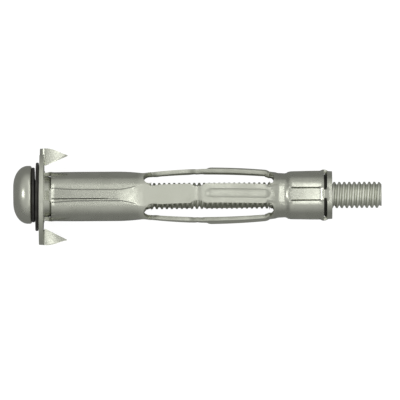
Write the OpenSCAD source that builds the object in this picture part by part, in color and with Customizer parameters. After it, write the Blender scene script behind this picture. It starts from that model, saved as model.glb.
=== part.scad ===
// Hollow wall anchor: a folded sheet sleeve with four legs that buckle outwards behind a
// thin wall, a clawed flange, a nut held in the far end of the sleeve, and its machine screw.
// The anchor lies along X. The flange is towards -X and the nut towards +X.
// The origin is on the axis, at the face of the flange that meets the wall.

/* [Screw] */
// Major diameter of the thread
screw_d = 4.166; // [3.6:0.01:4.4]
// Length of the screw under its head
screw_len = 55.5; // [48:0.5:70]
// Bevel at the tip of the screw
tip_bevel = 0.35; // [0.1:0.05:0.6]
// Diameter of the pan head
head_d = 9.12; // [8.4:0.02:10.4]
// Height of the pan head
head_h = 2.95; // [2.8:0.05:3.6]
// Radius of the rounded crown of the head
crown_r = 2.2; // [1.6:0.05:2.3]
// Radius of the lower edge of the head
head_edge_r = 0.25; // [0.1:0.05:0.4]
// Diameter of the cross recess at its mouth
recess_d = 4.4; // [3.6:0.1:5]
// Depth of the cross recess
recess_h = 1.9; // [1.2:0.1:2.3]
// Width of one wing of the cross recess
recess_w = 0.95; // [0.7:0.05:1.2]

/* [Washer] */
// Diameter of the wide lip that lies on the flange
washer_d = 10.86; // [10:0.02:14]
// Thickness of the wide lip
washer_t = 0.48; // [0.3:0.02:0.7]
// Diameter of the narrow lip under the screw head
collar_d = 8.7; // [7.6:0.02:9.8]
// Thickness of the narrow lip
collar_t = 0.48; // [0.3:0.02:0.7]
// Diameter of the hub between the two lips
washer_hub_d = 5.4; // [5:0.1:6.4]
// Gap between the two lips on the axis
lip_gap = 0.12; // [0.08:0.02:0.4]
// Lean of the wide lip, in degrees
washer_lean = 0.7; // [0:0.1:1]
// Free gap between the leaning lip and the flange
washer_free = 0.05; // [0.02:0.01:0.2]

/* [Flange] */
// Diameter of the flange
flange_d = 15.28; // [14:0.02:18]
// Thickness of the flange
flange_t = 0.68; // [0.5:0.02:0.9]
// Reach of the claws behind the flange
claw_len = 3.74; // [2.6:0.02:4.4]
// Distance of the claw's inner corner from the axis
claw_root = 5.14; // [4.6:0.02:5.6]
// Width of the claw's blunt point
claw_point = 0.12; // [0.06:0.02:0.3]
// Inside radius of the claw's bend
claw_bend = 0.3; // [0.2:0.02:0.5]
// Length of the drawn hub inside the sleeve
hub_len = 3; // [1.6:0.1:6]
// Bevel where the screw enters the hub
hub_bevel = 0.3; // [0.1:0.05:0.5]
// Height of the raised seat that the sleeve's neck stands on
seat_h = 0.15; // [0.1:0.01:0.3]
// Width of the raised seat outside the barrel
seat_w = 0.11; // [0.06:0.01:0.4]

/* [Sleeve] */
// Thickness of the folded sheet
sheet = 0.6; // [0.5:0.01:0.66]
// Distance of the barrel's flats from the axis
barrel_flat = 3.89; // [3.84:0.01:3.94]
// Radius of the barrel across its rounded corners
barrel_r = 3.99; // [3.95:0.01:4.2]
// Distance of the flats from the axis at the flange, where they are pressed in
mouth_flat = 3.78; // [3.74:0.01:3.83]
// Place along the axis where the flats have become level
mouth_len = 6; // [3:0.1:6.5]
// Length of the open neck behind the flange
neck_len = 1.24; // [1:0.02:2]
// Width of a neck tab at the flange
tab_w = 1.5; // [1.2:0.05:2]
// Width of a neck tab at the barrel
tab_root_w = 2.6; // [2.4:0.05:3]
// Length of the barrel from the neck to the windows
barrel_len = 14.6; // [10:0.1:26]
// Length of the stretch where the barrel is pressed in towards the legs
barrel_taper = 4.1; // [3:0.1:6]
// Width of the seam
seam_w = 0.14; // [0.08:0.02:0.3]
// Depth of the seam
seam_depth = 0.14; // [0.06:0.02:0.3]
// Offset of the seam from the middle of the front flat
seam_offset = 0.55; // [0.3:0.05:0.8]

/* [Legs] */
// Length of the windows between the legs
leg_len = 20.75; // [16:0.25:30]
// Width of a leg
leg_w = 3.1; // [2.7:0.05:3.3]
// Distance of a leg's outer face from the axis where it leaves the barrel
leg_root = 3.59; // [3.5:0.01:3.68]
// Distance of a leg's outer face from the axis where it reaches the waist
leg_foot = 3.71; // [3.6:0.01:3.8]
// Distance of a leg's outer face from the axis at the fold line
leg_peak = 4.28; // [4.1:0.01:4.6]
// Share of the leg's length in front of the fold line
fold_share = 0.415; // [0.35:0.005:0.6]
// Bow of the leg in front of the fold line
front_bow = 0.11; // [0.05:0.01:0.2]
// Bow of the leg behind the fold line
rear_bow = 0.19; // [0.1:0.01:0.25]
// Depth of the notch in each edge of a leg at the fold
notch_depth = 0.45; // [0.2:0.05:0.6]
// Length of the notch along the leg
notch_len = 2.3; // [1.6:0.1:3]
// Depth of the pressed fold line
fold_depth = 0.07; // [0.03:0.01:0.14]
// Radius of the round end of a window
window_r = 1.3; // [1.15:0.05:1.4]
// Height of the stiffening bead on the rear half of a leg
bead_h = 0.25; // [0.15:0.01:0.32]
// Width of the stiffening bead
bead_w = 1.5; // [1.1:0.05:1.8]
// Distance of the bead from the fold line
bead_start = 1.35; // [1.2:0.05:2]
// Distance of the bead from the waist end of the leg
bead_end = 0.7; // [0.5:0.05:1.5]

/* [Nut end] */
// Radius at the bottom of the waist
waist_r = 3.5; // [3.4:0.01:3.6]
// Length of the waist from the windows to the housing
waist_len = 2.6; // [2.2:0.05:3.4]
// Radius of the nut housing across its rounded corners
housing_r = 3.96; // [3.92:0.01:4.1]
// Distance of the housing's panels from the axis
panel_flat = 3.83; // [3.78:0.01:3.87]
// Length of the nut housing
housing_len = 4.8; // [4.2:0.1:7]
// Width and depth of the grooves beside each panel
panel_groove = 0.13; // [0.06:0.01:0.2]
// Height of a bridge above the axis
bridge_r = 4.04; // [3.98:0.01:4.15]
// Length of the bridges between the housing and the end ring
bridge_len = 1; // [0.9:0.05:1.6]
// Width of the slots between the bridges
slot_w = 0.34; // [0.2:0.02:0.5]
// Radius of the end ring
ring_r = 3.83; // [3.7:0.01:3.9]
// Length of the end ring
ring_len = 0.8; // [0.6:0.05:1.4]
// Radius of the end ring's outer edge
ring_edge_r = 0.3; // [0.1:0.05:0.4]
// Free gap at each end of the nut
nut_end_gap = 0.2; // [0.1:0.05:0.4]

/* [Clearances] */
// Radial clearance of the thread in the nut and in the washer
thread_clear = 0.03; // [0.02:0.01:0.06]
// Radial clearance of the flange's hub in the sleeve
hub_clear = 0.08; // [0.03:0.01:0.15]
// Clearance of the nut in its housing
nut_clear = 0.06; // [0.03:0.01:0.12]

/* [Hidden] */
$fn = 96;

steel = [0.64, 0.65, 0.60];
black = [0.13, 0.13, 0.12];
leg_angles = [0, 90, 180, 270];
window_angles = [45, 135, 225, 315];
past = 1;               // how far a cut runs past the face that it opens
inf_r = 9;              // larger than any radius of the sleeve

screw_r = screw_d / 2;
flange_r = flange_d / 2;

// stations along the axis, counted from the back of the flange
barrel_x = neck_len + barrel_len;
fold_x = barrel_x + leg_len * fold_share;
foot_x = barrel_x + leg_len;
housing_x = foot_x + waist_len;
bridge_x = housing_x + housing_len;
ring_x = bridge_x + bridge_len;
end_x = ring_x + ring_len;

// the washer lies on the front of the flange and the screw head on the washer
washer_back = flange_t + washer_free + washer_d / 2 * tan(washer_lean);
washer_front = washer_back + washer_t;
collar_back = washer_front + lip_gap;
seat_x = -(collar_back + collar_t);

// the legs bow out on one arc before the fold line and on another after it
front_ends = [[barrel_x, leg_root], [fold_x, leg_peak]];
rear_ends = [[fold_x, leg_peak], [foot_x, leg_foot]];
fold_lap = 0.3;         // how far each half of a leg runs past the fold line
root_lap = 0.6;         // how far a leg runs into the barrel and into the waist
arc_fn = 1440;

// the barrel's flats are pressed in on an arc that ends just before the windows
taper_lap = 0.25;
taper_arc = (pow(barrel_taper, 2) / (barrel_flat - leg_root) + barrel_flat - leg_root) / 2;

bead_r = (pow(bead_w / 2, 2) + pow(bead_h, 2)) / (2 * bead_h);
bead_sink = bead_r - bead_h;
bead_ease = 0.02;       // how much the bead's round ends are smaller than the bead

// the housing's panels are as wide as the flats that they are pressed from
panel_half_w = sqrt(pow(housing_r, 2) - pow(panel_flat, 2));
panel_end = 0.1;        // how far the grooves beside a panel stop before the bridges
bridge_lap = 0.1;       // how far a bridge runs onto the end ring

claw_mid = claw_bend + flange_t / 2;
claw_fold = -claw_mid;
claw_bent = claw_mid * PI / 2;

// radius and centre of the arc that bows out between two points
function arc_radius(ends, bow) = (pow(norm(ends[1] - ends[0]) / 2, 2) + pow(bow, 2)) / (2 * bow);
function arc_centre(ends, bow) =
    let (along = (ends[1] - ends[0]) / norm(ends[1] - ends[0]))
    (ends[0] + ends[1]) / 2 + [along[1], -along[0]] * (arc_radius(ends, bow) - bow);

rear_arc = arc_radius(rear_ends, rear_bow);
rear_mid = arc_centre(rear_ends, rear_bow);

function mirrored(line) =
    concat(line, [for (i = [len(line) - 1 : -1 : 0]) [line[i][0], -line[i][1]]]);

// the housing's panels lean in a little towards the bridges
panel_slope = 0.03;
panel_lap = 0.5;

// radius of the waist, which dips on one cosine wave between the legs and the housing
dip_x = foot_x + waist_len * 0.58;
tail_lap = 1.2;         // how far the waist runs forward between the legs' feet
tail_flare = 0.12;      // how much the waist widens over that length
function wave(t) = (1 - cos(180 * t)) / 2;
function tail_line(inset, extra) = concat(
    [[foot_x - tail_lap - extra, leg_foot + tail_flare - inset]],
    [for (i = [0 : 6]) [foot_x + (dip_x - foot_x) * i / 6,
                        leg_foot - inset + (waist_r - leg_foot) * wave(i / 6)]],
    [for (i = [1 : 6]) [dip_x + (housing_x - dip_x) * i / 6,
                        waist_r - inset + (housing_r - waist_r) * wave(i / 6)]],
    [[bridge_x, housing_r - inset],
     [ring_x, ring_r - inset],
     [end_x + extra, ring_r - inset]]);

module about_x() {
    rotate([0, 90, 0]) children();
}

// a shape drawn in X and Z, extruded along Y
module along_y(length) {
    rotate([90, 0, 0]) linear_extrude(length, center = true) children();
}

module on_legs() {
    for (a = leg_angles) rotate([a, 0, 0]) children();
}

module on_windows() {
    for (a = window_angles) rotate([a, 0, 0]) children();
}

// the same side outline cut across the top and bottom, and across the two sides
module four_flats() {
    intersection() {
        along_y(2 * inf_r) children();
        linear_extrude(2 * inf_r, center = true) children();
    }
}

// ---- machine screw ----

module pan_profile() {
    side_h = head_h - crown_r - head_edge_r;
    square([head_d / 2 - crown_r, head_h]);
    square([head_d / 2 - head_edge_r, head_h - crown_r]);
    translate([0, head_edge_r]) square([head_d / 2, side_h]);
    translate([head_d / 2 - head_edge_r, head_edge_r]) circle(head_edge_r);
    intersection() {
        translate([head_d / 2 - crown_r, head_h - crown_r]) circle(crown_r);
        translate([0, head_h - crown_r]) square([head_d / 2, crown_r]);
    }
}

module cross_recess() {
    core_r = recess_w * 0.72;
    core_point = 0.1;
    intersection() {
        cylinder(r1 = core_r, r2 = recess_d / 2, h = recess_h);
        union() {
            translate([-recess_d / 2, -recess_w / 2, 0]) cube([recess_d, recess_w, recess_h]);
            translate([-recess_w / 2, -recess_d / 2, 0]) cube([recess_w, recess_d, recess_h]);
            cylinder(r = core_r, h = recess_h);
        }
    }
    translate([0, 0, recess_h]) cylinder(r = recess_d / 2, h = past);
    mirror([0, 0, 1]) cylinder(r1 = core_r, r2 = core_point, h = core_r / 2);
}

module machine_screw() {
    head_grip = (head_h - recess_h) / 4;
    color(steel) {
        translate([seat_x, 0, 0]) rotate([45, 0, 0]) difference() {
            rotate([0, -90, 0]) rotate_extrude() pan_profile();
            translate([-(head_h - recess_h), 0, 0]) rotate([0, -90, 0]) cross_recess();
        }
        translate([seat_x, 0, 0]) about_x() rotate_extrude() polygon([
            [0, -head_grip],
            [screw_r, -head_grip],
            [screw_r, screw_len - tip_bevel],
            [screw_r - tip_bevel, screw_len],
            [0, screw_len]
        ]);
    }
}

// ---- retaining washer ----

module retaining_washer() {
    color(black) difference() {
        union() {
            translate([seat_x, 0, 0]) about_x() cylinder(r = collar_d / 2, h = collar_t);
            translate([seat_x, 0, 0])
                about_x() cylinder(r = washer_hub_d / 2, h = -washer_front - seat_x + washer_t / 2);
            translate([-washer_back, 0, 0]) rotate([0, 0, washer_lean])
                about_x() translate([0, 0, -washer_t]) cylinder(r = washer_d / 2, h = washer_t);
        }
        translate([seat_x - past, 0, 0])
            about_x() cylinder(r = screw_r + thread_clear, h = -seat_x + past);
    }
}

// ---- claw flange ----

function rim_y(z) = sqrt(pow(flange_r, 2) - pow(z, 2));

hub_r = mouth_flat - sheet - hub_clear;
hub_bore_r = hub_r - flange_t;
claw_tip_z = claw_fold + claw_bent + claw_len - claw_bend;
claw_tip_y = rim_y(claw_tip_z);

// the bite that the claw's metal leaves in the disc, drawn in Y and Z
module claw_bite() {
    polygon([
        [claw_root, claw_fold],
        [flange_r + past, claw_fold],
        [flange_r + past, claw_tip_z],
        [claw_tip_y - claw_point, claw_tip_z]
    ]);
}

// the claw seen face on, drawn in X and Y: a straight inner edge and the rim as its outer edge
module claw_outline() {
    inner_y = claw_root + (claw_tip_y - claw_point - claw_root) * claw_bent / (claw_tip_z - claw_fold);
    polygon(concat(
        [[-flange_t - past, claw_root],
         [-flange_t / 2, claw_root],
         [claw_bend, inner_y],
         [claw_len, claw_tip_y - claw_point]],
        [for (i = [0 : 10])
            let (x = claw_len - (claw_len - claw_bend) * i / 10)
            [x, rim_y(claw_fold + claw_bent + x - claw_bend)]],
        [[claw_bend - claw_mid, flange_r],
         [-flange_t - past, flange_r]]));
}

// the disc's edge, the bend and the straight claw, drawn in X and Z
module claw_section() {
    translate([-flange_t, claw_fold - flange_t]) square([flange_t, flange_t]);
    intersection() {
        translate([claw_bend, claw_fold]) difference() {
            circle(claw_bend + flange_t);
            circle(claw_bend);
        }
        translate([-flange_t, claw_fold]) square(claw_bend + flange_t);
    }
    translate([claw_bend, claw_fold + claw_bend]) square([claw_len - claw_bend, flange_t]);
}

module claw() {
    intersection() {
        along_y(2 * inf_r) claw_section();
        linear_extrude(2 * inf_r, center = true) claw_outline();
        about_x() translate([0, 0, -inf_r]) cylinder(r = flange_r, h = 2 * inf_r);
    }
}

module claw_flange() {
    color(steel) {
        difference() {
            union() {
                translate([-flange_t, 0, 0]) about_x() cylinder(r = flange_r, h = flange_t);
                about_x() cylinder(r = barrel_r + seat_w, h = seat_h);
                about_x() cylinder(r = hub_r, h = hub_len);
            }
            translate([-flange_t - past, 0, 0])
                about_x() cylinder(r = hub_bore_r, h = flange_t + hub_len + 2 * past);
            translate([-flange_t, 0, 0])
                about_x() cylinder(r1 = hub_bore_r + hub_bevel, r2 = hub_bore_r, h = hub_bevel);
            for (a = [0, 180]) rotate([a, 0, 0])
                rotate([90, 0, 90]) linear_extrude(2 * flange_t + past, center = true) claw_bite();
        }
        for (a = [0, 180]) rotate([a, 0, 0]) claw();
    }
}

// ---- expansion sleeve ----

// the barrel's flats from the side: they rise from the flange, run level and are then
// pressed in on an arc towards the legs
module barrel_side(inset, extra) {
    level_x = barrel_x - taper_lap - barrel_taper;
    half_w = barrel_flat - inset;
    mouth_w = mouth_flat - inset;
    root_w = leg_root - inset;
    polygon(mirrored([
        [seat_h - extra, mouth_w],
        [seat_h, mouth_w],
        [mouth_len, half_w],
        [level_x, half_w]
    ]));
    translate([level_x, -root_w])
        square([barrel_taper + taper_lap + root_lap + extra, 2 * root_w]);
    intersection() {
        translate([level_x, -half_w]) square([barrel_taper, 2 * half_w]);
        translate([level_x, half_w - taper_arc]) circle(taper_arc, $fn = arc_fn);
        translate([level_x, taper_arc - half_w]) circle(taper_arc, $fn = arc_fn);
    }
}

module barrel_form(inset, extra) {
    intersection() {
        translate([seat_h - extra, 0, 0]) about_x()
            cylinder(r = barrel_r - inset, h = barrel_x + root_lap - seat_h + 2 * extra);
        four_flats() barrel_side(inset, extra);
    }
}

// a neck window, drawn along the axis and round the barrel: it narrows towards the barrel
module neck_window() {
    wide = barrel_r * sin(45 - asin(tab_w / 2 / barrel_r));
    narrow = barrel_r * sin(45 - asin(tab_root_w / 2 / barrel_r));
    corner = wide - narrow;
    translate([-past, -wide]) square([neck_len - corner + past, 2 * wide]);
    translate([-past, -narrow]) square([neck_len + past, 2 * narrow]);
    for (side = [-1, 1]) translate([neck_len - corner, side * narrow]) circle(corner);
}

// the round end of a window between two legs, cut through the wall
module window_end(x, toward) {
    translate([x, 0, 0]) {
        cylinder(r = window_r, h = inf_r);
        translate([min(0, toward * inf_r), -window_r, 0]) cube([inf_r, 2 * window_r, inf_r]);
    }
}

module barrel() {
    difference() {
        barrel_form(0, 0);
        barrel_form(sheet, past);
        on_windows() linear_extrude(inf_r) neck_window();
        on_windows() window_end(barrel_x + window_r, 1);
        difference() {
            translate([neck_len + seam_w, -seam_offset - seam_w / 2, 0])
                cube([barrel_len - barrel_taper, seam_w, inf_r]);
            barrel_form(seam_depth, past);
        }
    }
}

// a stretch of a leg seen from the side, a band between two arcs with one centre
module leg_band(ends, bow, x0, x1) {
    intersection() {
        translate(arc_centre(ends, bow)) difference() {
            circle(arc_radius(ends, bow), $fn = arc_fn);
            circle(arc_radius(ends, bow) - sheet, $fn = arc_fn);
        }
        translate([x0, 0]) square([x1 - x0, inf_r]);
    }
}

// turns a section round the centre of the rear arc between two places along the axis
module sweep_rear(x0, x1) {
    a0 = asin((x0 - rear_mid[0]) / rear_arc);
    a1 = asin((x1 - rear_mid[0]) / rear_arc);
    translate([rear_mid[0], 0, rear_mid[1]]) rotate([90, 0, 0]) rotate([0, 0, 90 - a1])
        rotate_extrude(angle = a1 - a0, $fn = arc_fn) children();
}

// the bead on the rear half: a rod with a round section, sunk into the leg, with round ends
module bead() {
    first = fold_x + bead_start + bead_w / 2;
    last = foot_x - bead_end - bead_w / 2;
    nose_r = bead_r - bead_ease;
    sweep_rear(first, last) intersection() {
        translate([rear_arc - bead_sink, 0]) circle(bead_r);
        translate([rear_arc - sheet / 2, -leg_w / 2]) square([sheet, leg_w]);
    }
    for (x = [first, last]) translate([rear_mid[0], 0, rear_mid[1]])
        rotate([0, asin((x - rear_mid[0]) / rear_arc), 0]) rotate_extrude() intersection() {
            translate([0, rear_arc - bead_sink]) circle(nose_r);
            translate([0, rear_arc - sheet / 2]) square([bead_w, sheet]);
        }
}

// the hollow that pressing the bead leaves in the leg's inner face
module bead_hollow() {
    depth = bead_h + sheet;
    sweep_rear(fold_x + bead_start + sheet, foot_x - bead_end - sheet) intersection() {
        translate([rear_arc - bead_sink, 0]) circle(bead_r - sheet);
        translate([rear_arc - depth, -leg_w / 2]) square([depth, leg_w]);
    }
}

module leg() {
    notch_r = (pow(notch_len / 2, 2) + pow(notch_depth, 2)) / (2 * notch_depth);
    fold_r = 0.8;
    root_nip = 0.12;
    difference() {
        union() {
            along_y(leg_w)
                leg_band(front_ends, front_bow, barrel_x - root_lap, fold_x + fold_lap);
            along_y(leg_w)
                leg_band(rear_ends, rear_bow, fold_x - fold_lap, foot_x + root_lap);
            bead();
        }
        bead_hollow();
        for (side = [-1, 1]) {
            translate([fold_x, side * (leg_w / 2 - notch_depth + notch_r), 0])
                cylinder(r = notch_r, h = inf_r);
            for (x = [barrel_x + window_r, foot_x - window_r])
                translate([x, side * (leg_w / 2 + window_r - root_nip), 0])
                    cylinder(r = window_r, h = inf_r);
        }
        translate([fold_x, 0, leg_peak + fold_r - fold_depth]) rotate([90, 0, 0])
            cylinder(r = fold_r, h = leg_w + past, center = true);
    }
}

module tail_form(inset, extra) {
    line = tail_line(inset, extra);
    flat_out = panel_flat - inset;
    intersection() {
        about_x() rotate_extrude()
            polygon(concat(
                [[0, line[0][0]]],
                [for (p = line) [p[1], p[0]]],
                [[0, line[len(line) - 1][0]]]));
        four_flats() polygon(mirrored([
            [foot_x - tail_lap - extra, inf_r],
            [housing_x - panel_lap, inf_r],
            [housing_x - panel_lap, flat_out + panel_slope],
            [bridge_x, flat_out - panel_slope],
            [bridge_x, inf_r],
            [end_x + extra, inf_r]
        ]));
    }
}

// a pressed bridge that leads from a panel to the end ring and narrows towards it
module bridge() {
    ridge_r = 0.9;
    intersection() {
        translate([ring_x - bridge_len / 2, 0, bridge_r - ridge_r]) rotate([90, 0, 0])
            cylinder(r = ridge_r, h = 2 * panel_half_w, center = true);
        linear_extrude(inf_r) polygon(mirrored([
            [bridge_x - bridge_len, panel_half_w],
            [bridge_x, panel_half_w],
            [ring_x + bridge_lap, panel_half_w / 2]
        ]));
    }
}

module tail() {
    slot_half = housing_r * sin(35);
    difference() {
        union() {
            tail_form(0, 0);
            on_legs() bridge();
        }
        tail_form(sheet, past);
        on_windows() window_end(foot_x - window_r, -1);
        on_windows() translate([ring_x - slot_w, -slot_half, 0]) cube([slot_w, 2 * slot_half, inf_r]);
        on_legs() for (side = [-1, 1])
            translate([housing_x, side * panel_half_w - panel_groove / 2, panel_flat - panel_groove])
                cube([housing_len - panel_end, panel_groove, past]);
        translate([end_x, 0, 0]) about_x() rotate_extrude() difference() {
            translate([ring_r - ring_edge_r, -ring_edge_r]) square(ring_edge_r + past);
            translate([ring_r - ring_edge_r, -ring_edge_r]) circle(ring_edge_r);
        }
    }
}

module expansion_sleeve() {
    color(steel) {
        barrel();
        on_legs() leg();
        tail();
    }
}

// ---- nut ----

module threaded_nut() {
    nut_x = housing_x + nut_end_gap;
    nut_len = housing_len - 2 * nut_end_gap;
    nut_flat = panel_flat - panel_slope - sheet - nut_clear;
    color(steel) difference() {
        intersection() {
            translate([nut_x, 0, 0]) about_x() cylinder(r = housing_r - sheet - nut_clear, h = nut_len);
            translate([nut_x, -nut_flat, -nut_flat]) cube([nut_len, 2 * nut_flat, 2 * nut_flat]);
        }
        translate([nut_x - past, 0, 0])
            about_x() cylinder(r = screw_r + thread_clear, h = nut_len + 2 * past);
    }
}

machine_screw();
retaining_washer();
claw_flange();
expansion_sleeve();
threaded_nut();
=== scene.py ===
import math

import bmesh
import bpy
from mathutils import Matrix, Vector


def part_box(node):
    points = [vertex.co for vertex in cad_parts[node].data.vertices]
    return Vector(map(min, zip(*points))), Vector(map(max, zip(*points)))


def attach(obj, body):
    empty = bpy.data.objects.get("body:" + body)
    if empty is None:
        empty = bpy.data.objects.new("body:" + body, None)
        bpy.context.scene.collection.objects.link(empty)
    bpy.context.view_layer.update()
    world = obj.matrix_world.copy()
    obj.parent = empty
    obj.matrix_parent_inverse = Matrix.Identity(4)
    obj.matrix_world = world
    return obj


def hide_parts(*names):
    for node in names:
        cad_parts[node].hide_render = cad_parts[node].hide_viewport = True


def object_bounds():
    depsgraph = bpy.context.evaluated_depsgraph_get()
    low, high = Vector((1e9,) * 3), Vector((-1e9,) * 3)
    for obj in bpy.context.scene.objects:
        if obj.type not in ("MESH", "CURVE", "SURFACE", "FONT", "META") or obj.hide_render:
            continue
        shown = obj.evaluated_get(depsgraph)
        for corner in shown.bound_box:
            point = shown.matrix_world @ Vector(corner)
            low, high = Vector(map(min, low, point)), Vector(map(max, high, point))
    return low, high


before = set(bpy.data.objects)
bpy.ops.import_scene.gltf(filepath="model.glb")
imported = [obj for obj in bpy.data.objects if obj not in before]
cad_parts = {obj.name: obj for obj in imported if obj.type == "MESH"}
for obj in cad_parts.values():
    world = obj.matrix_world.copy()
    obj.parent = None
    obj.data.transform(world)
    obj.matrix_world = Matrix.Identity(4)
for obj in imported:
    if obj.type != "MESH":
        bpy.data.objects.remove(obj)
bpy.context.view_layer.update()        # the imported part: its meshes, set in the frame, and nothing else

mm = 0.001
xAxis = Vector((1, 0, 0))
mergeWithin = 1e-4          # points nearer than this, in millimetres, become one
nodeMergeWithin = 0.002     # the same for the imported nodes


# ---- mesh helpers; every piece is modelled in millimetres, at its place in the frame ----

def smoothStep(t):
    t = min(max(t, 0.0), 1.0)
    return t * t * (3 - 2 * t)


def blendTo(a, b, t):
    return a + (b - a) * smoothStep(t)


# the lower of two heights, with the crease between them rounded over a width
def softLower(a, b, width):
    h = max(width - abs(a - b), 0.0) / width
    return min(a, b) - h * h * width / 4


# a polyline of (distance along X, radius) turned all the way round the X axis
def turned(bm, line, steps):
    points = [bm.verts.new((x, 0, r)) for x, r in line]
    edges = [bm.edges.new(pair) for pair in zip(points, points[1:])]
    bmesh.ops.spin(bm, geom=points + edges, cent=(0, 0, 0), axis=xAxis, angle=math.tau,
                   steps=steps, use_merge=True)


# an arc of points round a centre, from one angle to another in degrees
def arcPoints(centre, radius, first, last, count):
    angles = [math.radians(first + (last - first) * i / count) for i in range(count + 1)]
    return [(centre[0] + radius * math.cos(a), centre[1] + radius * math.sin(a)) for a in angles]


# turns points about an axis, by an angle in degrees
def turnBy(bm, verts, angle, axis, centre=(0, 0, 0)):
    turn = Matrix.Rotation(math.radians(angle), 4, axis)
    bmesh.ops.rotate(bm, cent=centre, matrix=turn, verts=verts)


def cleaned(bm):
    bmesh.ops.remove_doubles(bm, verts=bm.verts[:], dist=mergeWithin)
    bmesh.ops.recalc_face_normals(bm, faces=bm.faces[:])


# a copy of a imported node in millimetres, with its loose triangles joined
def nodeCopy(name):
    bm = bmesh.new()
    bm.from_mesh(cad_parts[name].data)
    bmesh.ops.scale(bm, vec=(1 / mm,) * 3, verts=bm.verts[:])
    bmesh.ops.remove_doubles(bm, verts=bm.verts[:], dist=nodeMergeWithin)
    return bm


def makePiece(bm, name):
    bmesh.ops.scale(bm, vec=(mm, mm, mm), verts=bm.verts[:])
    mesh = bpy.data.meshes.new(name)
    bm.to_mesh(mesh)
    bm.free()
    piece = bpy.data.objects.new(name, mesh)
    bpy.context.scene.collection.objects.link(piece)
    return piece


def applyModifiers(piece):
    graph = bpy.context.evaluated_depsgraph_get()
    finished = bpy.data.meshes.new_from_object(piece.evaluated_get(graph))
    piece.modifiers.clear()
    piece.data = finished


# rounds every edge that is sharper than an angle in degrees
def softenEdges(piece, width, angle=40):
    bevel = piece.modifiers.new("softEdges", "BEVEL")
    bevel.width = width * mm
    bevel.segments = 2
    bevel.limit_method = "ANGLE"
    bevel.angle_limit = math.radians(angle)
    bevel.use_clamp_overlap = True
    applyModifiers(piece)


def dressPiece(piece, material, body, node, smoothAngle=40):
    if not piece.data.materials:
        piece.data.materials.append(material)
    piece.data.shade_smooth()
    piece.data.set_sharp_from_angle(angle=math.radians(smoothAngle))
    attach(piece, body)
    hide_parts(node)
    print("piece", piece.name, "has", len(piece.data.polygons), "faces")


# ---- materials ----

# wraps a shader socket, so that an expression on sockets and numbers adds its Math nodes
class Wire:
    def __init__(self, graph, socket):
        self.graph = graph
        self.socket = socket

    def math(self, operation, first, second):
        made = self.graph.node("ShaderNodeMath", {"operation": operation}, {0: first, 1: second})
        return self.graph.out(made, 0)

    def __add__(self, other):
        return self.math("ADD", self, other)

    def __radd__(self, other):
        return self.math("ADD", other, self)

    def __sub__(self, other):
        return self.math("SUBTRACT", self, other)

    def __rsub__(self, other):
        return self.math("SUBTRACT", other, self)

    def __mul__(self, other):
        return self.math("MULTIPLY", self, other)

    def __rmul__(self, other):
        return self.math("MULTIPLY", other, self)

    def __truediv__(self, other):
        return self.math("DIVIDE", self, other)

    def __rtruediv__(self, other):
        return self.math("DIVIDE", other, self)


# a node tree under construction
class Graph:
    def __init__(self, tree):
        self.tree = tree

    def node(self, kind, settings=None, sockets=None):
        made = self.tree.nodes.new(kind)
        for name, value in (settings or {}).items():
            if name == "stops":
                ramp = made.color_ramp
                while len(ramp.elements) < len(value):
                    ramp.elements.new(1)
                for element, (position, tone) in zip(ramp.elements, value):
                    element.position = position
                    element.color = (tone, tone, tone, 1)
            else:
                setattr(made, name, value)
        for name, value in (sockets or {}).items():
            self.feed(made.inputs[name], value)
        return made

    def feed(self, socket, value):
        if isinstance(value, Wire):
            self.tree.links.new(value.socket, socket)
        else:
            socket.default_value = value

    def out(self, node, name):
        return Wire(self, node.outputs[name])

    def ramp(self, value, stops):
        made = self.node("ShaderNodeValToRGB", {"stops": stops}, {"Fac": value})
        return self.out(made, "Color")

    def mixed(self, factor, a, b):
        made = self.node("ShaderNodeMix", {"data_type": "RGBA"}, {0: factor, 6: a, 7: b})
        return self.out(made, 2)


# a material: its Principled shader, and patterns that are measured in millimetres
class Finish(Graph):
    def __init__(self, name):
        self.material = bpy.data.materials.new(name)
        self.material.use_nodes = True
        super().__init__(self.material.node_tree)
        self.shader = self.tree.nodes["Principled BSDF"]
        self.place = self.node("ShaderNodeTexCoord")

    def stretched(self, scale):
        made = self.node("ShaderNodeMapping", None, {
            "Vector": self.out(self.place, "Object"),
            "Scale": tuple(k / mm for k in scale)})
        return self.out(made, "Vector")

    def noise(self, scale, detail, drawn=1):
        made = self.node("ShaderNodeTexNoise", None, {
            "Vector": self.stretched((scale / drawn, scale, scale)), "Scale": 1.0,
            "Detail": detail})
        return self.out(made, "Fac")

    def bump(self, height, distance):
        made = self.node("ShaderNodeBump", None, {
            "Height": height, "Distance": distance * mm, "Strength": 1.0})
        return self.out(made, "Normal")

    def set(self, name, value):
        self.feed(self.shader.inputs[name], value)


zinc = {
    "bright": (0.59, 0.604, 0.52, 1),       # fresh plating
    "dull": (0.49, 0.502, 0.43, 1),         # handled and dusty plating
    "speck": (0.2, 0.204, 0.17, 1),         # small dark pits
    "grime": (0.035, 0.036, 0.03, 1),       # painted shade: near black, for the creases, the seam and the grooves
    "brushed": (0.62, 0.635, 0.548, 1),     # the satin legs
    "rolled": (0.68, 0.696, 0.607, 1),      # the thread, burnished by its rolling
    "paintedShadeBlack": (0.05, 0.05, 0.043, 1),        # painted shade: the nut, out of sight in its housing, is near black so the slots over its collar look as black as deep shade
    "cloudScale": 0.35, "cloudStops": ((0.35, 0), (0.68, 1)),   # scales are per millimetre
    "pitScale": 3.1, "pitStops": ((0.68, 0), (0.76, 1)), "pitShare": 0.35,
    "grainScale": 9.0,
    "roughLow": 0.14, "roughSpan": 0.12, "roughGrain": 0.1,
    "bumpDepth": 0.0012, "bumpPits": 0.6,
    "satinSpan": 100.0,     # the satin's stops are shares of this length along the anchor
    "satinStops": ((0.149, 0), (0.157, 1), (0.236, 1), (0.24, 0.2), (0.25, 0.2), (0.254, 0.65),
                   (0.355, 0.65), (0.368, 0)),
}
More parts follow.
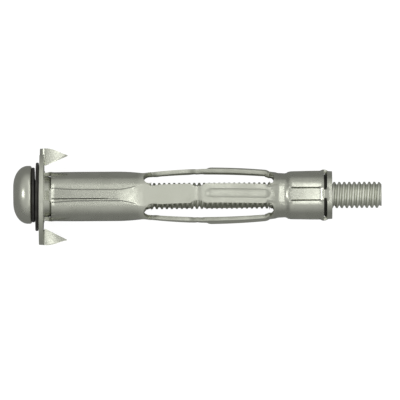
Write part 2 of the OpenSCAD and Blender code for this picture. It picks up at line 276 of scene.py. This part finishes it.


# zinc plated steel; drawn is how far the grain is stretched along the anchor, dullness is how
# dusty its clouds are, rough is added to the roughness, the weight after it is how much of the piece's
# painted shade, darkening creases, seam and grooves, is shown, satin is how much rougher the legs are,
# and plating is the clean metal's colour, or the nut's near-black painted shade
def zincFinish(name, drawn, dullness, rough=0.0, grime=0.0, satin=0.0, plating="bright"):
    finish = Finish(name)
    clouds = finish.noise(zinc["cloudScale"], detail=4)
    grain = finish.noise(zinc["grainScale"], detail=0, drawn=drawn)
    pits = finish.noise(zinc["pitScale"], detail=2)
    cloudMask = finish.ramp(clouds, zinc["cloudStops"])
    pitMask = finish.ramp(pits, zinc["pitStops"])
    plated = finish.mixed(1 - cloudMask * dullness, zinc["dull"], zinc[plating])
    plated = finish.mixed(pitMask * zinc["pitShare"], plated, zinc["speck"])
    if satin:
        parted = finish.node("ShaderNodeSeparateXYZ", None,
                             {"Vector": finish.out(finish.place, "Object")})
        along = finish.out(parted, "X") / (zinc["satinSpan"] * mm)
        satinMask = finish.ramp(along, zinc["satinStops"])
        plated = finish.mixed(satinMask, plated, zinc["brushed"])
    # painted shade: the attribute darkens the creases, the seam and the panel's grooves towards near
    # black
    if grime:
        mark = finish.node("ShaderNodeAttribute", {"attribute_name": "grime"})
        plated = finish.mixed(finish.out(mark, "Fac") * grime, plated, zinc["grime"])
    finish.set("Base Color", plated)
    finish.set("Metallic", 1.0)
    worn = zinc["roughLow"] + rough + zinc["roughSpan"] * cloudMask + zinc["roughGrain"] * grain
    if satin:
        worn = worn + satin * satinMask
    finish.set("Roughness", worn)
    finish.set("Normal", finish.bump(grain + zinc["bumpPits"] * pits, zinc["bumpDepth"]))
    return finish.material


plastic = {
    "colour": (0.022, 0.021, 0.017, 1),
    "worn": (0.05, 0.05, 0.042, 1),
    "patchScale": 0.8, "patchStops": ((0.4, 0), (0.7, 1)),
    "grainScale": 7.0,
    "roughLow": 0.42, "roughSpan": 0.2,
    "bumpDepth": 0.01,
}


def plasticFinish(name):
    finish = Finish(name)
    patches = finish.noise(plastic["patchScale"], detail=3)
    grain = finish.noise(plastic["grainScale"], detail=2)
    wornMask = finish.ramp(patches, plastic["patchStops"])
    finish.set("Base Color", finish.mixed(wornMask, plastic["colour"], plastic["worn"]))
    finish.set("Roughness", plastic["roughLow"] + plastic["roughSpan"] * patches)
    finish.set("Normal", finish.bump(grain, plastic["bumpDepth"]))
    return finish.material


# the sheet shows all of its painted shade in creases, seam and grooves
sheetZinc = zincFinish("sheetZinc", drawn=3, dullness=0.9, grime=1.0, satin=0.3)
edgeZinc = zincFinish("edgeZinc", drawn=1, dullness=0.5, rough=0.28)
screwZinc = zincFinish("screwZinc", drawn=1, dullness=0.6, rough=0.06)
threadZinc = zincFinish("threadZinc", drawn=1, dullness=0.2, rough=0.22, plating="rolled")
# painted shade: the nut is near black, so the slots over its collar look black
nutPaintedShade = zincFinish("nutPaintedShade", drawn=1, dullness=0.0, rough=0.3, plating="paintedShadeBlack")
blackPlastic = plasticFinish("blackPlastic")
print("materials are made")


# ---- expansion sleeve: one sheet, blanked, pressed and rolled ----

sleeve = {
    "sheet": 0.6,
    "barrelR": 3.99, "barrelFlat": 3.89,
    "neckLen": 1.24, "tabHalf": 0.75, "tabRootHalf": 1.3, "tabLine": 0.6,
    "barrelLen": 14.6, "taperLen": 4.1, "taperLap": 0.25,
    "mouthFlat": 3.78, "mouthLen": 6.0,
    "joggle": 0.06, "joggleStart": 0.45, "joggleEnd": 0.95,     # the tabs are pressed in at the flange
    "lip": 0.06, "lipStart": 1.1, "lipEnd": 1.8,
    "roll": -3.2,       # the sleeve has turned a little on the screw, in degrees
    "legTwist": -3.2,   # and the middle of its legs a little more
    "legCrown": 0.13,   # how far a leg falls towards its edges
    "legTuck": 0.006,   # the share by which the legs are drawn in
    "legLen": 20.75, "legHalf": 1.55, "legRoot": 3.59, "legPeak": 4.28, "legFoot": 3.71,
    "foldShare": 0.415, "frontBow": 0.11, "rearBow": 0.19,
    "windowR": 1.3, "rearWindowR": 0.8, "rootNip": 0.12,
    "gatherFront": 3.0, "gatherEase": 2.5, "gatherRear": 2.0,   # columns gathered at the windows
    "notchDepth": 0.45, "notchLen": 2.3, "foldDepth": 0.07, "foldHalf": 0.33,
    "footEase": 1.5, "footDrop": 0.8, "footLap": 0.5,
    "beadH": 0.25, "beadHalf": 0.75, "beadStart": 1.35, "beadEnd": 0.7,
    "waistR": 3.5, "waistLen": 2.6, "dipShare": 0.27, "dipLen": 1.05, "dipFall": 0.055,
    "tailLap": 1.2, "tailFlare": 0.12,
    "housingR": 3.96, "panelFlat": 3.84, "panelRise": 0.1, "panelLap": 0.5, "housingLen": 4.8,
    # grooves in the panel, and the painted shade that darkens them
    "panelHalf": 1.0, "grooveDepth": 0.16, "grooveHalf": 0.16, "groovePaintedShade": 0.8,
    "bridgeLen": 1.0, "bridgeR": 4.04, "bridgeHalf": 0.65, "bridgeEase": 0.4,
    "ridgeR": 0.9, "ridgeReach": 1.5, "ridgeFall": 0.3, "slotWidth": 0.52,
    "ringR": 3.83, "curl": 0.05,
    "seamY": 0.55, "seamDepth": 0.14, "seamHalf": 0.1, "seamStart": 0.1,
    "seamFaint": 8.0, "seamFade": 0.6, "seamFadeLen": 3.0,      # it is fainter past this station
    # creases along the barrel's flats, and the painted shade that darkens them
    "crease": 0.03, "creaseDepth": 0.06, "creaseHalf": 0.15, "creasePaintedShade": 0.7,
    "creaseStop": 0.4, "creaseEase": 1.5,
    "rim": 0.07, "rimAngle": 55,
    "rows": (10, 56, 76, 40, 2, 5),         # rows of faces in each stretch of the sheet
}
s = sleeve

barrelEnd = s["neckLen"] + s["barrelLen"]
levelEnd = barrelEnd - s["taperLap"] - s["taperLen"]
foldX = barrelEnd + s["legLen"] * s["foldShare"]
footX = barrelEnd + s["legLen"]
dipStart = footX + s["waistLen"] * s["dipShare"]
dipX = dipStart + s["dipLen"]
housingX = footX + s["waistLen"]
panelX = housingX - s["panelLap"]
bridgeX = housingX + s["housingLen"]
ringX = bridgeX + s["bridgeLen"]
sleeveStart, sleeveEnd = (corner.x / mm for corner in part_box("expansion_sleeve"))


# height of a chord's arc above the axis, between two points and bowed out by an amount
def bowed(x, x0, z0, x1, z1, bow):
    t = (x - x0) / (x1 - x0)
    return z0 + (z1 - z0) * t + bow * 4 * t * (1 - t)


# radius of the tube that the sheet is rolled to
def tubeRadius(x):
    if x < footX - s["tailLap"]:
        return s["barrelR"]
    if x < footX:
        return s["legFoot"] + s["tailFlare"] * (footX - x) / s["tailLap"]
    if x < dipX:
        fall = s["dipFall"] * (dipX - x) / (dipX - dipStart)
        return s["waistR"] + min(fall, s["dipFall"]) + (s["legFoot"] - s["waistR"] - s["dipFall"]) * (
            1 - smoothStep((x - footX) / (dipStart - footX)))
    if x < housingX:
        return blendTo(s["waistR"], s["housingR"], (x - dipX) / (housingX - dipX))
    if x < bridgeX:
        return s["housingR"]
    if x < ringX:
        return blendTo(s["housingR"], s["ringR"], (x - bridgeX) / s["bridgeLen"])
    return s["ringR"] - s["curl"] * (x - ringX) / (sleeveEnd - ringX)


# height of the pressed flat: the barrel's flats, the legs, then the housing's panels
def flatHeight(x):
    taperArc = (s["taperLen"] ** 2 / (s["barrelFlat"] - s["legRoot"])
                + s["barrelFlat"] - s["legRoot"]) / 2
    if x < s["mouthLen"]:
        return s["barrelFlat"] - (s["barrelFlat"] - s["mouthFlat"]) * (1 - x / s["mouthLen"]) ** 2
    if x < levelEnd:
        return s["barrelFlat"]
    if x < levelEnd + s["taperLen"]:
        return s["barrelFlat"] - taperArc + math.sqrt(taperArc ** 2 - (x - levelEnd) ** 2)
    if x < barrelEnd:
        return s["legRoot"]
    if x < foldX:
        return bowed(x, barrelEnd, s["legRoot"], foldX, s["legPeak"], s["frontBow"])
    if x < footX:
        return bowed(x, foldX, s["legPeak"], footX, s["legFoot"], s["rearBow"])
    if x < panelX:
        return s["legFoot"]
    return s["panelFlat"] - s["panelRise"] * ((bridgeX - x) / s["housingLen"]) ** 2


# half width of a neck tab, then of a leg
def stripHalf(x):
    corner = s["tabRootHalf"] - s["tabHalf"]
    start = s["neckLen"] - corner
    if x < start:
        return s["tabHalf"]
    if x < s["neckLen"]:
        return s["tabRootHalf"] - math.sqrt(max(corner ** 2 - (x - start) ** 2, 0))
    half = s["legHalf"]
    if x < barrelEnd + s["windowR"]:        # along the barrel the strip is as wide as the flat
        height = min(s["legRoot"], flatHeight(x)) if x > barrelEnd else flatHeight(x)
        half = math.sqrt(s["barrelR"] ** 2 - height ** 2)
        half = blendTo(half, min(half, s["legHalf"]), (x - barrelEnd) / s["windowR"])
    notchR = ((s["notchLen"] / 2) ** 2 + s["notchDepth"] ** 2) / (2 * s["notchDepth"])
    if abs(x - foldX) < s["notchLen"] / 2:
        half -= math.sqrt(notchR ** 2 - (x - foldX) ** 2) - notchR + s["notchDepth"]
    for root in (barrelEnd + s["windowR"], footX - s["rearWindowR"]):
        half -= s["rootNip"] * (1 - smoothStep(abs(x - root) / s["windowR"]))
    return half


# distance from the middle to the line that carries the seam, the bead's edge and the panel's edge
def innerHalf(x):
    if x < s["neckLen"]:
        return blendTo(s["tabHalf"] * s["tabLine"], s["seamY"], x / s["neckLen"])
    if x < foldX:
        return blendTo(s["seamY"], s["beadHalf"], (x - levelEnd) / (barrelEnd - levelEnd))
    if x < bridgeX:
        return blendTo(s["beadHalf"], s["panelHalf"], (x - footX) / s["waistLen"])
    return blendTo(s["panelHalf"], s["bridgeHalf"], (x - bridgeX) / s["bridgeEase"])


def beadHeight(x, y):
    beadR = (s["beadHalf"] ** 2 + s["beadH"] ** 2) / (2 * s["beadH"])
    first = foldX + s["beadStart"] + s["beadHalf"]
    last = footX - s["beadEnd"] - s["beadHalf"]
    reach = math.hypot(x - min(max(x, first), last), y)
    if reach >= s["beadHalf"]:
        return 0.0
    return math.sqrt(beadR ** 2 - reach ** 2) - beadR + s["beadH"]


# a soft groove's share of its full depth, at a distance from its middle
def groove(apart, half):
    return 1 - smoothStep(abs(apart) / half)


# a height that eases away to nothing between two stations
def stepDown(x, height, start, end):
    return height * (1 - smoothStep((x - start) / (end - start)))


# how far a station is from the ends of the leg stretch: 1 half way from the barrel to the housing
def legShare(x):
    return math.sin(math.pi * min(max((x - barrelEnd) / (housingX - barrelEnd), 0), 1))


# where a point of the blank ends up, and how much painted shade it holds: u counts the stretches of
# the sheet, c the strips beside its middle
def pressed(u, c):
    side = math.copysign(1, c)
    c = abs(c)
    turn = max(c - 2, 0) * math.pi / 2
    ends = (sleeveStart, s["neckLen"], barrelEnd + s["windowR"] * (1 - math.sin(turn)),
            footX - s["rearWindowR"] * (1 - math.sin(turn)),
            ringX - s["slotWidth"], ringX, sleeveEnd)
    stretch = min(int(u), len(ends) - 2)
    x = ends[stretch] + (ends[stretch + 1] - ends[stretch]) * (u - stretch)
    radius = tubeRadius(x)
    inner, strip = innerHalf(x), stripHalf(x)
    half = math.pi / 4 - math.asin(strip / radius)
    if c <= 1:
        y = inner * c
    elif c <= 2:
        y = inner + (strip - inner) * (c - 1)
    else:
        # evenly spread round the tube, but gathered into the windows' round ends
        gathered = math.asin(math.sin(half) * math.cos(turn))
        nearFront = smoothStep((x - barrelEnd + s["gatherFront"]) / s["gatherEase"])
        nearWindow = nearFront * smoothStep((footX + s["gatherRear"] - x) / s["gatherRear"])
        y = radius * math.sin(math.pi / 4 - blendTo(half * (3 - c), gathered, nearWindow))
    rolled = math.sqrt(radius ** 2 - y ** 2)
    flat = flatHeight(x)
    grime = 0.0
    legStart, legStop = barrelEnd + s["windowR"], footX - s["rearWindowR"]
    footShare = (x - legStop) / (footX + s["footLap"] - legStop)
    if x >= bridgeX:
        z = rolled
    elif x >= panelX:
        z = softLower(rolled, flat, s["crease"])
    elif x > legStop - s["footDrop"] and c <= 2:
        edgeDrop = smoothStep((x - legStop) / s["footDrop"] + 1) * smoothStep(c - 1)
        z = blendTo(flat, rolled, max(footShare, edgeDrop))
    elif x > legStop:
        z = blendTo(min(flat, rolled), rolled, footShare)
    elif x > legStart:
        z = blendTo(softLower(rolled, flat, s["crease"]), flat, (x - legStart) / s["footEase"])
    else:
        z = softLower(rolled, flat, s["crease"])
        z += stepDown(x, s["lip"], s["lipStart"], s["lipEnd"])
        z -= stepDown(x, s["joggle"], s["joggleStart"], s["joggleEnd"])
        if x > s["neckLen"]:
            apart = (c - 2) * (strip - inner if c < 2 else radius * half)
            # the creases along the barrel's flats are pressed in and given painted shade
            press = groove(apart, s["creaseHalf"])
            press *= smoothStep((barrelEnd - s["creaseStop"] - x) / s["creaseEase"])
            z -= s["creaseDepth"] * press
            grime = s["creasePaintedShade"] * press
    if c <= 2:
        z += beadHeight(x, y)
        z -= s["legCrown"] * (y / strip) ** 2 * math.sqrt(legShare(x))
        z -= s["foldDepth"] * (1 - smoothStep(abs(x - foldX) / s["foldHalf"]))
    if housingX < x < bridgeX:
        # the panel's grooves are pressed in and given painted shade
        press = groove(y - inner, s["grooveHalf"])
        z -= s["grooveDepth"] * press
        grime = s["groovePaintedShade"] * press
    if bridgeX - s["ridgeR"] < x < ringX + s["ridgeR"] and c <= s["ridgeReach"]:
        along = x - (ringX - s["bridgeLen"] / 2)
        if abs(along) < s["ridgeR"]:
            ridge = s["bridgeR"] - s["ridgeR"] + math.sqrt(s["ridgeR"] ** 2 - along ** 2)
            z = max(z, ridge - max(c - 1, 0) * s["ridgeFall"])
    return Vector((x, side * y, z)), grime


def makeSleeve():
    # columns from the middle out: 1 is the seam or bead, 2 the strip's edge, 3 mid window
    strips = [0, 0.2, 0.4, 0.6, 0.75, 0.85, 0.93, 1, 1.1, 1.22, 1.36, 1.52, 1.68, 1.82, 1.92, 2]
    strips += [2.06] + [2 + i / 8 for i in range(1, 9)]
    columns = [-c for c in reversed(strips[1:])] + strips
    rows = [k + (i / n + smoothStep(i / n)) / 2 for k, n in enumerate(s["rows"]) for i in range(n)]
    rows.append(len(s["rows"]))
    bm = bmesh.new()
    bmesh.ops.create_grid(bm, x_segments=len(rows) - 1, y_segments=len(columns) - 1, size=1)
    for v in bm.verts:      # the flat blank
        row = round((v.co.x + 1) / 2 * (len(rows) - 1))
        column = round((v.co.y + 1) / 2 * (len(columns) - 1))
        v.co = (rows[row], columns[column], 0)
    punched = []
    for f in bm.faces:
        at = f.calc_center_median()
        wide = abs(at.y)
        window = (at.x < 1 or 2 < at.x < 3) and wide > 2    # beside the tabs and the legs
        slot = 4 < at.x < 5 and wide > 1                    # beside the bridges
        if window or slot:
            punched.append(f)
    bmesh.ops.delete(bm, geom=punched, context="FACES")
    # a layer of painted shade for the creases, the seam and the grooves
    paintedShadeLayer = bm.verts.layers.float.new("grime")
    for v in bm.verts:
        v.co, v[paintedShadeLayer] = pressed(v.co.x, v.co.y)
    bmesh.ops.spin(bm, geom=bm.verts[:] + bm.edges[:] + bm.faces[:], cent=(0, 0, 0), axis=xAxis,
                   angle=math.tau * 3 / 4, steps=3, use_duplicate=True)
    cleaned(bm)
    for v in bm.verts:      # the seam where the two edges of the sheet meet, on the front flat, pressed in and darkened with painted shade
        if s["neckLen"] + s["seamStart"] < v.co.x < levelEnd and v.co.z > 0:
            faint = 1 - s["seamFade"] * smoothStep((v.co.x - s["seamFaint"]) / s["seamFadeLen"])
            seam = faint * groove(v.co.y + s["seamY"], s["seamHalf"])
            v.co.z -= s["seamDepth"] * seam
            v[paintedShadeLayer] = max(v[paintedShadeLayer], seam)
    for v in bm.verts:
        share = legShare(v.co.x)
        turn = math.radians(s["roll"] + s["legTwist"] * share)
        tuck = 1 - s["legTuck"] * share
        v.co = Matrix.Rotation(turn, 3, "X") @ Matrix.Diagonal((1, tuck, tuck)) @ v.co
    piece = makePiece(bm, "folded_sleeve")
    for finish in (sheetZinc, edgeZinc):
        piece.data.materials.append(finish)
    wall = piece.modifiers.new("wall", "SOLIDIFY")
    wall.thickness = s["sheet"] * mm
    wall.offset = -1
    wall.material_offset_rim = 1
    applyModifiers(piece)
    softenEdges(piece, s["rim"], s["rimAngle"])
    return piece


dressPiece(makeSleeve(), sheetZinc, "sleeve", "expansion_sleeve")
print("sleeve is rolled")


# ---- flange with its two claws ----

flange = {
    "edge": 0.07,       # roundness of the blanked edges
    "rimR": 7.5,        # what lies outside this, and faces outwards, is the sheared rim
    "lean": -0.8,       # how far the loose flange leans on the screw, in degrees
    "clawStart": 0.1, "clawLen": 3.6, "clawInner": 4.4, "clawOuter": 7.4,
    "clawSwell": 0.5, "swellStart": 0.1, "clawDroop": 0.3,
    "hubR": 3.1, "hubNear": 0.03, "hubGrowth": 0.1,     # the hub fills the barrel's mouth
}


def makeFlange():
    bm = nodeCopy("claw_flange")
    bmesh.ops.dissolve_limit(bm, angle_limit=math.radians(1), verts=bm.verts[:], edges=bm.edges[:])
    turnBy(bm, bm.verts[:], flange["lean"], "Z")
    for v in bm.verts:      # the claws are broad below their points, and the lower one droops
        along = (v.co.x - flange["clawStart"]) / flange["clawLen"]
        if along > 0 and abs(v.co.y) > flange["clawInner"]:
            start = flange["swellStart"]
            swell = 1 + flange["clawSwell"] * math.sin(math.pi * (start + (1 - start) * min(along, 1)))
            outer = math.copysign(flange["clawOuter"], v.co.y)
            v.co.y = outer - (outer - v.co.y) * swell
            if v.co.y < 0:
                v.co.y -= flange["clawDroop"] * min(along, 1) ** 2
        reach = math.hypot(v.co.y, v.co.z)
        if abs(reach - flange["hubR"]) < flange["hubNear"]:
            v.co.y *= 1 + flange["hubGrowth"] / reach
            v.co.z *= 1 + flange["hubGrowth"] / reach
    piece = makePiece(bm, "clawed_flange")
    softenEdges(piece, flange["edge"])
    for finish in (sheetZinc, edgeZinc):
        piece.data.materials.append(finish)
    for face in piece.data.polygons:
        reach = math.hypot(face.center.y, face.center.z)
        if reach > flange["rimR"] * mm and abs(face.normal.x) < 0.5:
            face.material_index = 1
    return piece


dressPiece(makeFlange(), sheetZinc, "sleeve", "claw_flange")
print("flange is bevelled")


# ---- retaining washer: two lips on one hub ----

washer = {
    "collarR": 4.35, "collarT": 0.48,
    "lipR": 5.43, "lipT": 0.48, "lipGap": 0.12, "lean": -0.7,
    "hubR": 2.7, "boreR": 2.113,
    "shift": 0.3,       # the collar goes with the head, which sits a little off the axis
    "edge": 0.16, "edgeSteps": 5,
    "steps": 96,
}


def makeWasher():
    w = washer
    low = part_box("retaining_washer")[0].x / mm
    e = w["edge"]
    lip = low + w["collarT"] + w["lipGap"]

    def disc(x0, x1, r):
        front = arcPoints((x0 + e, r - e), e, 90, 180, w["edgeSteps"])
        back = arcPoints((x1 - e, r - e), e, 0, 90, w["edgeSteps"])
        return [(x0, w["boreR"])] + front[::-1] + back[::-1] + [(x1, w["boreR"])]

    bm = bmesh.new()
    turned(bm, disc(lip, lip + w["lipT"], w["lipR"]), w["steps"])
    turnBy(bm, bm.verts[:], w["lean"], "Z", (lip + w["lipT"], 0, 0))
    before = set(bm.verts)
    turned(bm, disc(low, low + w["collarT"], w["collarR"]), w["steps"])
    collar = [v for v in bm.verts if v not in before and math.hypot(v.co.y, v.co.z) > w["hubR"]]
    bmesh.ops.translate(bm, vec=(0, w["shift"], 0), verts=collar)
    hub = [(low + w["collarT"] / 2, w["boreR"]), (low + w["collarT"] / 2, w["hubR"]),
           (lip + w["lipT"] / 2, w["hubR"]), (lip + w["lipT"] / 2, w["boreR"])]
    turned(bm, hub, w["steps"])
    cleaned(bm)
    return makePiece(bm, "black_washer")


dressPiece(makeWasher(), blackPlastic, "washer", "retaining_washer")
print("washer is turned")


# ---- machine screw: a pan head with a cross recess, and a rolled thread ----

screw = {
    "headR": 4.6, "headH": 2.95, "crownH": 2.3, "crownW": 3.25, "edgeR": 0.3,
    "headShift": 0.33,      # how far the loose screw's head sits off the axis
    "recessR": 2.2, "recessH": 1.9, "recessW": 0.95,
    "recessTaper": (0.42, 0.7),     # a wing's length and width at the bottom, as shares
    "pitch": 0.79375, "majorR": 2.083, "minorR": 1.7, "crestShare": 0.34, "rootShare": 0.24,
    "tipBevel": 0.35, "sink": 0.3,      # the thread runs on into the head by this much
    "turnSteps": 48, "headSteps": 96, "crownSteps": 20, "edgeSteps": 6,
}


def makeHead():
    w = screw
    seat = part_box("machine_screw")[0].x / mm + w["headH"]
    top = seat - w["headH"]
    bm = bmesh.new()
    face = w["headR"] - w["crownW"]
    line = [(top, 0), (top, face / 2)]
    for x, r in arcPoints((0, 0), 1, 180, 90, w["crownSteps"]):     # part of an ellipse
        line.append((top + w["crownH"] * (x + 1), face + w["crownW"] * r))
    edge = w["edgeR"]
    line += arcPoints((seat - edge, w["headR"] - edge), edge, 90, 0, w["edgeSteps"])
    line += [(seat, w["minorR"]), (seat, 0)]
    turned(bm, line, w["headSteps"])
    cleaned(bm)
    head = makePiece(bm, "pan_head")
    cutter = bmesh.new()
    for turn in (45, 135):
        wing = bmesh.ops.create_cube(cutter, size=1)["verts"]
        bmesh.ops.scale(cutter, vec=(2 * w["recessH"], 2 * w["recessR"], w["recessW"]), verts=wing)
        for v in wing:      # the wings narrow towards the bottom of the recess
            if v.co.x > 0:
                v.co.y *= w["recessTaper"][0]
                v.co.z *= w["recessTaper"][1]
        turnBy(cutter, wing, turn, "X")
        bmesh.ops.translate(cutter, vec=(top, 0, 0), verts=wing)
    knife = makePiece(cutter, "recessCutter")
    cut = head.modifiers.new("recess", "BOOLEAN")
    cut.object = knife
    cut.operation = "DIFFERENCE"
    cut.solver = "EXACT"
    cut.use_self = True
    applyModifiers(head)
    bpy.data.objects.remove(knife)
    head.data.transform(Matrix.Translation((0, w["headShift"] * mm, 0)))
    return head


# one pitch of the thread's outline, wound on by a screw motion from under the head to the tip
def makeThread():
    w = screw
    low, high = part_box("machine_screw")
    start = low.x / mm + w["headH"] - w["sink"]
    tip = high.x / mm
    pitch = w["pitch"]
    crest, root = pitch * w["crestShare"], pitch * w["rootShare"]
    flank = (pitch - crest - root) / 2
    outline = [(0, w["minorR"]), (root, w["minorR"]), (root + flank, w["majorR"]),
               (root + flank + crest, w["majorR"]), (pitch, w["minorR"])]
    turns = math.ceil((tip - start) / pitch) + 2
    bm = bmesh.new()
    points = [bm.verts.new((start - pitch + x, 0, r)) for x, r in outline]
    edges = [bm.edges.new(pair) for pair in zip(points, points[1:])]
    steps = turns * w["turnSteps"]
    bmesh.ops.spin(bm, geom=points + edges, cent=(0, 0, 0), axis=-xAxis,
                   angle=math.tau * turns, steps=steps, dvec=xAxis * (pitch / w["turnSteps"]))
    cleaned(bm)
    for x, normal in ((start, -xAxis), (tip, xAxis)):
        everything = bm.verts[:] + bm.edges[:] + bm.faces[:]
        bmesh.ops.bisect_plane(bm, geom=everything, plane_co=(x, 0, 0), plane_no=normal,
                               clear_outer=True)
        cutEdges = [e for e in bm.edges
                    if e.is_boundary and all(abs(v.co.x - x) < 1e-3 for v in e.verts)]
        bmesh.ops.holes_fill(bm, edges=cutEdges)
    for v in bm.verts:      # the tip's bevel
        reach = math.hypot(v.co.y, v.co.z)
        most = w["majorR"] - max(v.co.x - tip + w["tipBevel"], 0)
        if reach > most:
            v.co.y *= most / reach
            v.co.z *= most / reach
    bmesh.ops.recalc_face_normals(bm, faces=bm.faces[:])
    return makePiece(bm, "rolled_thread")


dressPiece(makeHead(), screwZinc, "screw", "machine_screw")
dressPiece(makeThread(), threadZinc, "screw", "machine_screw", smoothAngle=30)
print("screw is wound")


# ---- nut, with the collar that closes the sleeve behind the slots ----

nut = {
    "collarR": 3.31, "collarStart": 43.0, "collarEnd": 44.97, "boreR": 2.15,
    "edge": 0.08,
    "steps": 64,
}


def makeNut():
    n = nut
    bm = nodeCopy("threaded_nut")
    turned(bm, [(n["collarStart"], n["boreR"]), (n["collarStart"], n["collarR"]),
                (n["collarEnd"], n["collarR"]), (n["collarEnd"], n["boreR"]),
                (n["collarStart"], n["boreR"])], n["steps"])
    cleaned(bm)
    turnBy(bm, bm.verts[:], sleeve["roll"], "X")
    piece = makePiece(bm, "formed_nut")
    softenEdges(piece, n["edge"])
    return piece


# the nut's near-black finish is painted shade, seen through the slots
dressPiece(makeNut(), nutPaintedShade, "sleeve", "threaded_nut")
print("nut is formed")


# ---- floor, light and camera ----

studio = {
    "floorSize": 2000.0,
    "skyLean": (0.03, 0.2, 1.0),        # where the soft overhead light is brightest
    "skyStops": ((-1.0, 0.2), (-0.3, 0.26), (0.0, 0.35), (0.2, 0.45), (0.4, 0.56), (0.6, 0.64),
                 (0.8, 0.66), (1.0, 0.56)),
    "lamps": {                          # place, width, length and radiance of each soft lamp
        "stripLamp": ((56.0, 50.0, 300.0), 36.0, 700.0, 2.4),
        "sideLamp": ((-305.0, 30.0, 300.0), 110.0, 130.0, 5.5),
    },
    "floorColour": (0.3, 0.3, 0.3, 1),
    "floorRough": 0.9,
    "floorGlow": 0.88,
    "metalShare": 0.05,                 # how much of the floor's glow the metal shows
}
shot = {
    "lens": 1000.0,
    "sensor": 36.0,
    "frameWidth": 63.5,         # width of the view at the axis
    "centre": (24.81, -0.66),
    "roll": -0.35,              # in degrees
    "clipEnd": 10.0,            # in metres
}


def makeFloor():
    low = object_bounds()[0][2] / mm
    bm = bmesh.new()
    bmesh.ops.create_grid(bm, x_segments=1, y_segments=1, size=studio["floorSize"] / 2)
    bmesh.ops.translate(bm, vec=(0, 0, low), verts=bm.verts[:])
    floor = makePiece(bm, "floor")
    finish = Finish("paleFloor")
    rays = finish.node("ShaderNodeLightPath")
    metalSees = finish.out(rays, "Is Glossy Ray") * studio["metalShare"]
    seen = finish.out(rays, "Is Camera Ray") + finish.out(rays, "Is Transmission Ray") + metalSees
    finish.set("Base Color", studio["floorColour"])
    finish.set("Roughness", studio["floorRough"])
    finish.set("Specular IOR Level", 0.0)
    finish.set("Emission Color", seen * studio["floorGlow"])
    finish.set("Emission Strength", 1.0)
    floor.data.materials.append(finish.material)


def makeSky():
    world = bpy.data.worlds.new("studioSky")
    bpy.context.scene.world = world
    world.use_nodes = True
    sky = Graph(world.node_tree)
    lean = Vector(studio["skyLean"]).normalized()
    toward = sky.node("ShaderNodeVectorMath", {"operation": "DOT_PRODUCT"},
                      {0: sky.out(sky.node("ShaderNodeTexCoord"), "Generated"), 1: lean})
    height = sky.out(toward, "Value")
    rays = sky.node("ShaderNodeLightPath")
    soft = sky.ramp((height + 1) * 0.5, [((h + 1) / 2, tone) for h, tone in studio["skyStops"]])
    whole = sky.mixed(sky.out(rays, "Is Camera Ray"), soft, (1, 1, 1, 1))
    sky.feed(world.node_tree.nodes["Background"].inputs["Color"], whole)


def makeLamps():
    target = Vector((shot["centre"][0], 0, 0))
    for name, (place, width, length, radiance) in studio["lamps"].items():
        lamp = bpy.data.lights.new(name, "AREA")
        lamp.shape = "RECTANGLE"
        lamp.size, lamp.size_y = width * mm, length * mm
        lamp.energy = radiance * math.pi * lamp.size * lamp.size_y
        holder = bpy.data.objects.new(name, lamp)
        holder.location = Vector(place) * mm
        away = (Vector(place) - target).normalized()
        across = Vector((0, 1, 0)).cross(away).normalized()
        holder.rotation_euler = Matrix((across, away.cross(across), away)).transposed().to_euler()
        holder.visible_camera = False
        bpy.context.scene.collection.objects.link(holder)


def makeCamera():
    data = bpy.data.cameras.new("topCamera")
    data.lens = shot["lens"]
    data.sensor_width = shot["sensor"]
    data.clip_end = shot["clipEnd"]
    camera = bpy.data.objects.new("topCamera", data)
    away = shot["frameWidth"] * shot["lens"] / shot["sensor"]
    camera.location = (shot["centre"][0] * mm, shot["centre"][1] * mm, away * mm)
    camera.rotation_euler = (0, 0, math.radians(shot["roll"]))
    bpy.context.scene.collection.objects.link(camera)
    bpy.context.scene.camera = camera


makeFloor()
makeSky()
makeLamps()
makeCamera()
bpy.context.scene.view_settings.view_transform = "Standard"
print("studio is lit")
